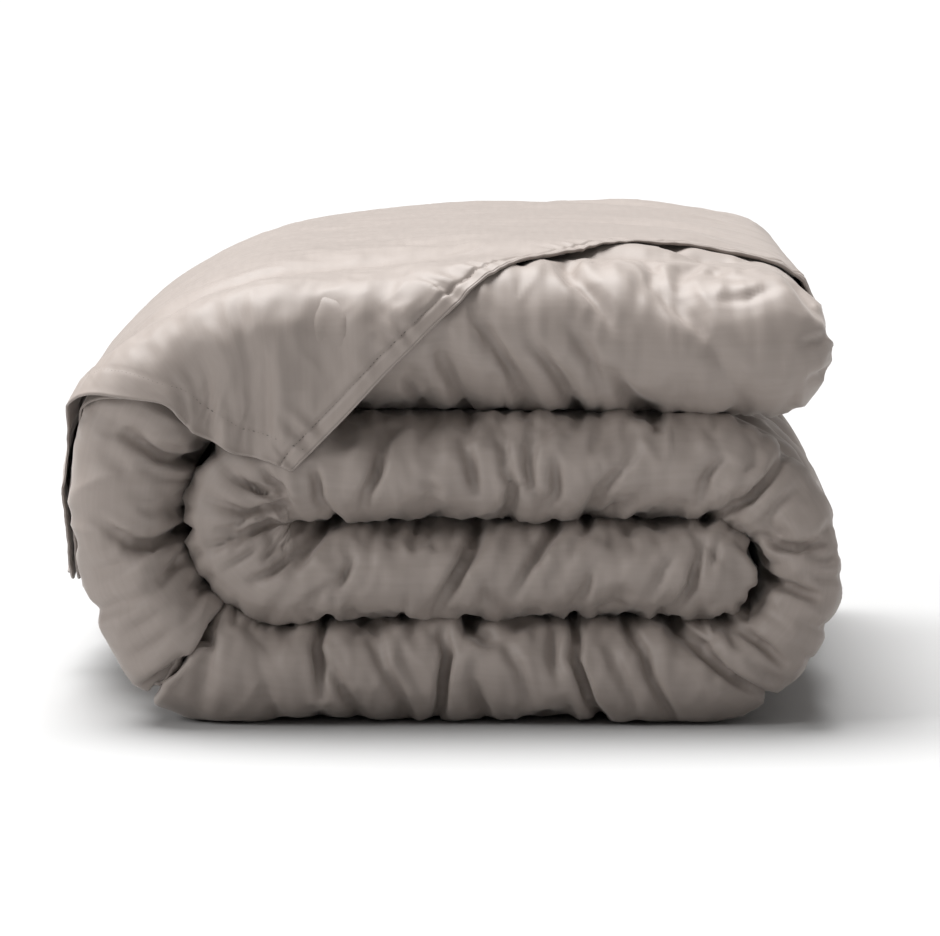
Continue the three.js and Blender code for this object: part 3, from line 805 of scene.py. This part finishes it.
def grid_object(name, place, flat):
    """A grid of cloth at these places, with its flat pattern as its map."""
    rows, columns = place.shape[:2]
    sheet = bmesh.new()
    bmesh.ops.create_grid(sheet, x_segments=columns - 1, y_segments=rows - 1, size=0.5)
    weave = sheet.loops.layers.uv.new("weave")
    row_layer = sheet.verts.layers.float.new("row")
    column_layer = sheet.verts.layers.float.new("column")
    pattern = {}
    for vert in sheet.verts:
        i = round((vert.co.x + 0.5) * (columns - 1))
        j = round((vert.co.y + 0.5) * (rows - 1))
        vert[row_layer], vert[column_layer] = j, i
        vert.co = place[j, i]
        pattern[vert] = flat[j, i]
    for face in sheet.faces:
        for loop in face.loops:
            loop[weave].uv = pattern[loop.vert]
    mesh = bpy.data.meshes.new(name)
    sheet.to_mesh(mesh)
    sheet.free()
    cloth = bpy.data.objects.new(name, mesh)
    scene.collection.objects.link(cloth)
    return cloth


def drape(sheet, flat, supports, frames):
    """Lets a sheet fall on the quilt, cut to its flat size and held along its root."""
    sheet.shape_key_add(name="Basis")
    cut = sheet.shape_key_add(name="cut")
    rows = read_layer(sheet.data, "row")
    columns = read_layer(sheet.data, "column")
    pattern = flat[rows.astype(int), columns.astype(int)]
    cut.data.foreach_set("co", np.column_stack([pattern, np.zeros(len(pattern))]).ravel())
    held = sheet.vertex_groups.new(name="held")
    held.add(np.flatnonzero(rows <= 4).tolist(), 1.0, "REPLACE")
    for support in supports:
        support.modifiers.new("solid", "COLLISION")
        support.collision.thickness_outer = 1.5 * MM
        support.collision.cloth_friction = 30
    fall = sheet.modifiers.new("fall", "CLOTH")
    settings = fall.settings
    settings.quality = 6
    settings.mass = 0.12
    settings.air_damping = 1.5
    settings.tension_stiffness = 18
    settings.compression_stiffness = 12
    settings.shear_stiffness = 6
    settings.bending_stiffness = 0.12
    settings.vertex_group_mass = "held"
    settings.rest_shape_key = cut
    fall.collision_settings.distance_min = 2 * MM
    fall.collision_settings.collision_quality = 3
    fall.point_cache.frame_start, fall.point_cache.frame_end = 1, frames
    settle(sheet, frames)
    for support in supports:
        support.modifiers.clear()


def outward(place):
    """The way out of the pile at each point of a grid of cloth that lies on it."""
    down_rows, along_row = [np.stack(parts, axis=-1) for parts in
                            zip(*[np.gradient(place[..., axis]) for axis in range(3)])]
    normal = np.cross(down_rows, along_row)
    return normal / (np.linalg.norm(normal, axis=-1, keepdims=True) + 1e-12)


RIPPLE_START = 5 * MM


def ripple_start(place, flat):
    """Soft folds that spread out from the corner where the side seam leaves the quilt."""
    u = flat[..., 0] - hinge_reach
    w = flat[..., 1]
    corner_u, corner_w = TAIL_CORNER[0] * MM, TAIL_CORNER[1] * MM
    far = np.hypot(u - corner_u, w - corner_w)
    turn = np.arctan2(w - corner_w, u - corner_u)
    wave = np.sin(turn * 17) * RIPPLE_START * np.exp(-((far - 0.16) / 0.13) ** 2)
    slow = np.array([[noise.noise((a * 13, b * 13, 2.2)) for a, b in row] for row in flat]) * RIPPLE_START
    rise = (wave + slow) * np.clip(u / 0.05, 0, 1)
    return place + outward(place) * (np.abs(rise) + rise)[..., None] / 2


laid_tail = ripple_start(laid_tail, flat_tail)
tail_cloth = grid_object("tail_cloth", laid_tail, flat_tail)
drape(tail_cloth, flat_tail, [roll_quilt, wrap_quilt], DRAPE_FRAMES)

hung_tail = np.empty(laid_tail.shape)
hung_rows = read_layer(tail_cloth.data, "row").astype(int)
hung_columns = read_layer(tail_cloth.data, "column").astype(int)
hung_tail[hung_rows, hung_columns] = read_points(tail_cloth.data)
bpy.data.objects.remove(tail_cloth)
SMOOTHINGS = 5
for _ in range(SMOOTHINGS):
    inner = (hung_tail[1:-1, :-2] + hung_tail[1:-1, 2:] + hung_tail[:-2, 1:-1] + hung_tail[2:, 1:-1]) / 4
    hung_tail[1:-1, 1:-1] += 0.6 * (inner - hung_tail[1:-1, 1:-1])
    for edge in (hung_tail[-1], hung_tail[:, -1], hung_tail[:, 0]):
        edge[1:-1] += 0.5 * ((edge[:-2] + edge[2:]) / 2 - edge[1:-1])


def finer(grid):
    """The grid with a point halfway between each pair, on a smooth curve through them."""
    for axis in (0, 1):
        grid = np.moveaxis(grid, axis, 0)
        padded = np.concatenate([2 * grid[:1] - grid[1:2], grid, 2 * grid[-1:] - grid[-2:-1]])
        halfway = (9 * (padded[1:-2] + padded[2:-1]) - padded[:-3] - padded[3:]) / 16
        full = np.empty((2 * len(grid) - 1, *grid.shape[1:]))
        full[::2], full[1::2] = grid, halfway
        grid = np.moveaxis(full, 0, axis)
    return grid


def edge_distance(flat, edge):
    """Distance of each flat point from an edge, and how far along the edge that is."""
    edge = np.array(edge)
    best = np.full(flat.shape[:2], 1e9)
    along_edge = np.zeros(flat.shape[:2])
    done = 0
    for a, b in zip(edge[:-1], edge[1:]):
        length = np.hypot(*(b - a))
        share = np.clip(((flat - a) @ (b - a)) / length ** 2, 0, 1)
        gap = np.linalg.norm(flat - a - share[..., None] * (b - a), axis=-1)
        along_edge = np.where(gap < best, done + share * length, along_edge)
        best = np.minimum(best, gap)
        done += length
    return best, along_edge


SEAM_IN, HEM_IN = 10 * MM, 18 * MM
hung_fine, flat_fine = finer(hung_tail), finer(flat_tail)
side_gap, side_along = edge_distance(flat_fine, side_edge)
mouth_gap, mouth_along = edge_distance(flat_fine, mouth_edge)
lift_way = outward(hung_fine)


def puckers(gap, along_edge, line_in, pitch, reach_in):
    """Small gathers that a line of stitches draws up on both sides of it."""
    warp = along_edge / pitch + 0.35 * np.sin(along_edge * 61) + 0.2 * np.sin(along_edge * 143)
    swell = 0.55 + 0.45 * np.sin(along_edge * 37 + 1)
    return np.sin(2 * math.pi * warp) * swell * np.exp(-((gap - line_in) / reach_in) ** 2)


tail_u, tail_w = flat_fine[..., 0] - hinge_reach, flat_fine[..., 1]
hanging = np.clip((tail_w - 25 * MM) / (45 * MM), 0, 1) * np.clip(side_gap / (20 * MM), 0, 1)


def cloth_noise(across_u, across_w, seed):
    """Smooth noise over the flat tail, at so many waves to the metre each way."""
    return np.array([[noise.noise((a * across_u, b * across_w, seed)) for a, b in row] for row in flat_fine])


# How far the cloth stands out of its draped shape, in millimetres: gathers at the stitches,
# folds in the hanging corner, slack down the left side, and the seam's and hem's own relief
side_gathers = 2.0 * puckers(side_gap, side_along, SEAM_IN + 4 * MM, 17 * MM, 15 * MM)
mouth_gathers = 0.7 * puckers(mouth_gap, mouth_along, HEM_IN, 18 * MM, 14 * MM)
hang_folds = 7.5 * cloth_noise(34, 8, 6.0) + 2.5 * cloth_noise(75, 22, 7.0)
loose = np.clip((tail_u - 0.44) / 0.09, 0, 1) * (4.5 + 4 * cloth_noise(6, 12, 8.0))
seam_groove = 1.9 * np.exp(-((side_gap - SEAM_IN) / (1.7 * MM)) ** 2)
hem_groove = 0.4 * np.exp(-((mouth_gap - HEM_IN) / (1.7 * MM)) ** 2)
mouth_roll = 0.9 * np.exp(-(mouth_gap / (2.2 * MM)) ** 2)
side_roll = 0.5 * np.exp(-(side_gap / (2.0 * MM)) ** 2)
hem_step = 0.25 * np.clip((HEM_IN - mouth_gap) / (2 * MM), 0, 1)
relief = (side_gathers + mouth_gathers + hanging * hang_folds + loose - seam_groove - hem_groove
          + mouth_roll + side_roll + hem_step) * MM
crumples = cloth_noise(34, 34, 1.0) + 0.5 * cloth_noise(85, 60, 3.0)
relief = relief + (0.4 - np.abs(crumples)) * 1.6 * MM
shoulder = np.exp(-((tail_u - 0.475) / 0.05) ** 2)
yawn = 8 * MM * shoulder * np.clip(1 - mouth_gap / 0.08, 0, 1) ** 2
from_root = np.clip(flat_fine[..., 0] / (25 * MM), 0, 1)
upper_place = hung_fine + lift_way * ((relief + yawn) * from_root)[..., None]
between = 2.2 * MM - 0.8 * (relief - loose * MM) - 0.4 * loose * MM
under_place = hung_fine - lift_way * (between * from_root)[..., None]
press_top(upper_place)
press_top(under_place)


def give_thickness(piece, thickness):
    wall = piece.modifiers.new("wall", "SOLIDIFY")
    wall.thickness = thickness
    wall.offset = 0
    view = bpy.context.evaluated_depsgraph_get()
    result = bpy.data.meshes.new_from_object(piece.evaluated_get(view))
    piece.modifiers.clear()
    piece.data = result
    for polygon in result.polygons:
        polygon.use_smooth = True


TAIL_CLOTH = 0.6 * MM


def tail_piece(piece, finish, nodes):
    piece.data.materials.append(finish)
    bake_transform(piece)
    if nodes:
        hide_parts(*nodes)


tail_upper = grid_object("tail_upper_cloth", upper_place, flat_fine)
give_thickness(tail_upper, TAIL_CLOTH)
tail_piece(tail_upper, sateen, ["tail_upper_panel"])
tail_under = grid_object("tail_under_cloth", under_place, flat_fine)
give_thickness(tail_under, TAIL_CLOTH)
tail_piece(tail_under, sateen, ["tail_under_panel"])


# The hems round the mouth are the cloth turned in by 18 mm and stitched down, and a closing
# edge joins the two layers down the front, outside a line of stitches.
hem_cloth = sateen_cloth("sateen_hem", (0.276, 0.236, 0.212), (0.309, 0.266, 0.240))


def band_inside(values, gap, line_in, steps=7):
    """Rows of values from a line inside the last row out to it, column by column."""
    wanted = np.linspace(line_in, 0, steps)
    return np.stack([np.stack([np.interp(wanted, gap[::-1, k], values[::-1, k, axis])
                               for axis in range(values.shape[-1])], axis=-1)
                     for k in range(values.shape[1])], axis=1)


def hem_band(name, place, node):
    band = band_inside(place, mouth_gap, HEM_IN)
    pattern = band_inside(flat_fine, mouth_gap, HEM_IN)
    hem = grid_object(name, band - outward(band) * 0.75 * MM, pattern)
    give_thickness(hem, TAIL_CLOTH)
    tail_piece(hem, hem_cloth, [node])
    return hem


upper_hem = hem_band("mouth_hem_upper_band", upper_place, "mouth_hem_upper")
under_hem = hem_band("mouth_hem_under_band", under_place, "mouth_hem_under")


def closing_strip(name, column, inner_column):
    """The turn of cloth that joins the two layers along one side."""
    over, under = upper_place[:, column], under_place[:, column]
    out = over - upper_place[:, inner_column]
    out /= np.linalg.norm(out, axis=1, keepdims=True)
    middle = (over + under) / 2 + out * 1.3 * MM
    strip = np.stack([over, (over + middle) / 2 + out * 0.5 * MM, middle,
                      (under + middle) / 2 + out * 0.5 * MM, under], axis=1)
    shift = np.array([[[0, k * MM] for k in range(5)]])
    joined = grid_object(name, strip, np.repeat(flat_fine[:, [column]], 5, axis=1) + shift)
    give_thickness(joined, TAIL_CLOTH)
    return joined


closing_edge = closing_strip("tail_side_edge", -1, -3)
back_fold = closing_strip("tail_back_fold", 0, 2)
tail_piece(closing_edge, sateen, ["tail_side_seam"])
tail_piece(back_fold, sateen, [])


STITCH_PITCH, STITCH_LENGTH, STITCH_RADIUS = 3.4 * MM, 2.5 * MM, 0.42 * MM


def add_stitches(name, line, above):
    """A row of short threads along a line, each sunk halfway into the cloth."""
    done = np.concatenate([[0], np.cumsum(np.linalg.norm(np.diff(line, axis=0), axis=1))])
    threads = bmesh.new()
    weave = threads.loops.layers.uv.new("weave")
    for start in np.arange(STITCH_PITCH, done[-1] - STITCH_PITCH, STITCH_PITCH):
        a, b, up = [np.array([np.interp(at, done, source[:, k]) for k in range(3)])
                    for at, source in ((start, line), (start + STITCH_LENGTH, line), (start, above))]
        way = Vector(b - a).normalized()
        rise = Vector(up - a).normalized()
        side = way.cross(rise).normalized()
        turn = Matrix((way, side, side.cross(way))).transposed().to_4x4()
        size = Matrix.Diagonal((STITCH_LENGTH / 2, STITCH_RADIUS, STITCH_RADIUS, 1))
        spot = Matrix.Translation(Vector((a + b) / 2))
        bmesh.ops.create_icosphere(threads, subdivisions=1, radius=1, matrix=spot @ turn @ size)
    for face in threads.faces:
        for loop in face.loops:
            loop[weave].uv = (loop.vert.co.x, loop.vert.co.z)
    mesh = bpy.data.meshes.new(name)
    threads.to_mesh(mesh)
    threads.free()
    stitches = bpy.data.objects.new(name, mesh)
    scene.collection.objects.link(stitches)
    return stitches


thread = sateen_cloth("sewing_thread", (0.120, 0.102, 0.092), (0.150, 0.128, 0.115))
upper_out = outward(upper_place)


def line_inside(values, gap, line_in):
    return band_inside(values, gap, line_in, steps=2)[0]


side_line = line_inside(upper_place.swapaxes(0, 1), side_gap.T, SEAM_IN)
side_up = line_inside((upper_place + upper_out * 10 * MM).swapaxes(0, 1), side_gap.T, SEAM_IN)
hem_line = line_inside(upper_place, mouth_gap, HEM_IN - 1.5 * MM)
hem_up = line_inside(upper_place + upper_out * 10 * MM, mouth_gap, HEM_IN - 1.5 * MM)
side_stitches = add_stitches("tail_side_stitches", side_line, side_up)
hem_stitches = add_stitches("mouth_hem_stitches", hem_line, hem_up)
for stitches in (side_stitches, hem_stitches):
    tail_piece(stitches, thread, [])


# The two quilts: the cover, filled out by the duvet inside it. The casing, filling, loops and
# ties lie within and don't show. Their finish waits until the tail has been draped on them.
for quilt in (roll_quilt, wrap_quilt):
    sharpen(quilt)
    quilt.data.materials.append(sateen)
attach(roll_quilt, "roll")
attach(wrap_quilt, "wrap")


# The cover's seams: a raised edge where the panels meet, down the back edge of each ply
# and across the foot and the head, sewn from inside and turned out.
SEAM_RADIUS = 1.7 * MM
SEAM_SIDES = 8


def seam_cord(name, line, body_name, node):
    """A slim raised edge along a line, closed to a point at both ends."""
    way = np.gradient(line, axis=0)
    way /= np.linalg.norm(way, axis=1, keepdims=True) + 1e-12
    out = np.cross(way, np.cross(SEAM_OUT[node], way))
    out /= np.linalg.norm(out, axis=1, keepdims=True) + 1e-12
    side = np.cross(way, out)
    turn = np.linspace(0, 2 * math.pi, SEAM_SIDES + 1)[None, :, None]
    radius = np.full((len(line), 1, 1), SEAM_RADIUS)
    radius[[0, -1]] = 0
    tube = line[:, None] + radius * (1.5 * np.cos(turn) * out[:, None] + 0.8 * np.sin(turn) * side[:, None])
    length = np.concatenate([[0], np.cumsum(np.linalg.norm(np.diff(line, axis=0), axis=1))])
    pattern = np.stack(np.broadcast_arrays(length[:, None], turn[..., 0] * SEAM_RADIUS), axis=-1)
    seam = grid_object(name, tube, pattern)
    cleaned = bmesh.new()
    cleaned.from_mesh(seam.data)
    bmesh.ops.remove_doubles(cleaned, verts=cleaned.verts, dist=0.01 * MM)
    bmesh.ops.recalc_face_normals(cleaned, faces=cleaned.faces)
    for face in cleaned.faces:
        face.smooth = True
    cleaned.to_mesh(seam.data)
    cleaned.free()
    seam.data.materials.append(hem_cloth)
    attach(seam, body_name)
    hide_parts(node)


SEAM_OUT = {"foot_seam": (-1, 0, 0), "head_seam": (1, 0, 0)}
END_SEAM_SHORT = 22 * MM
INNER_EDGE = (2 * EDGE_COLUMNS + OUTER_COLUMNS + 2 * FRONT_COLUMNS + FOLD_COLUMNS + INNER_COLUMNS
              - EDGE_COLUMNS // 2)
for quilt, name in ((roll_quilt, "roll"), (wrap_quilt, "wrap")):
    spots = read_points(quilt.data)
    station, column = read_layer(quilt.data, "station"), read_layer(quilt.data, "column")
    for side, edge_column in (("left", EDGE_COLUMNS // 2), ("right", INNER_EDGE)):
        node = f"side_seam_{side}_{name}"
        SEAM_OUT[node] = (0, 1, 0)
        on_edge = np.flatnonzero(np.abs(column - edge_column) < 0.01)
        on_edge = on_edge[np.argsort(station[on_edge])]
        seam_cord(node + "_edge", spots[on_edge][3:-3], name, node)

for quilt, name, node, at in ((roll_quilt, "roll", "foot_seam", roll_rows[0][0]),
                              (wrap_quilt, "wrap", "head_seam", wrap_rows[0][-1])):
    spots = read_points(quilt.data)
    on_end = np.flatnonzero(np.abs(read_layer(quilt.data, "station") - at) < 0.01 * MM)
    on_end = on_end[np.argsort(spots[on_end, 1])]
    line = spots[on_end]
    line = line[np.concatenate([[True], np.diff(line[:, 1]) > 0.5 * MM])]
    seam_cord(node + "_edge", line[line[:, 1] > line[0, 1] + END_SEAM_SHORT], name, node)


# The care label: a blank strip of satin ribbon, caught in the back seam of the second
# layer and hanging down from it.
label_low, label_high = (Vector(corner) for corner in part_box("care_label"))
LABEL_OUT = 4 * MM
LABEL_ROWS, LABEL_COLUMNS = 16, 12
LABEL_THICKNESS = 0.3 * MM
drop = np.linspace(0, 1, LABEL_ROWS + 1)[:, None]
across = np.linspace(0, 1, LABEL_COLUMNS + 1)[None, :]
curl = LABEL_OUT * (1 - np.cos(drop * 2.2)) * (0.8 + 0.35 * across) + 1.5 * MM
label_place = np.stack(np.broadcast_arrays(
    label_low.x + across * (label_high.x - label_low.x) + 1.5 * MM * drop ** 2,
    label_low.y + curl,
    label_high.z - drop * (label_high.z - label_low.z)), axis=-1)
label_flat = np.stack(np.broadcast_arrays(across * (label_high.x - label_low.x),
                                          drop * (label_high.z - label_low.z)), axis=-1)
label = grid_object("care_label_ribbon", label_place, label_flat)
give_thickness(label, LABEL_THICKNESS)
label.data.materials.append(sateen_cloth("label", (0.62, 0.60, 0.57), (0.70, 0.68, 0.65)))
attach(label, "roll")
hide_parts("care_label")

body = frame["record"]["behaviour"]["bodies"]
SEPARATE = set(SEAM_OUT) | {"care_label"}
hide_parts(*[node for node in body["roll"] if node not in SEPARATE])
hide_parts(*[node for node in body["wrap"] if node not in SEPARATE])
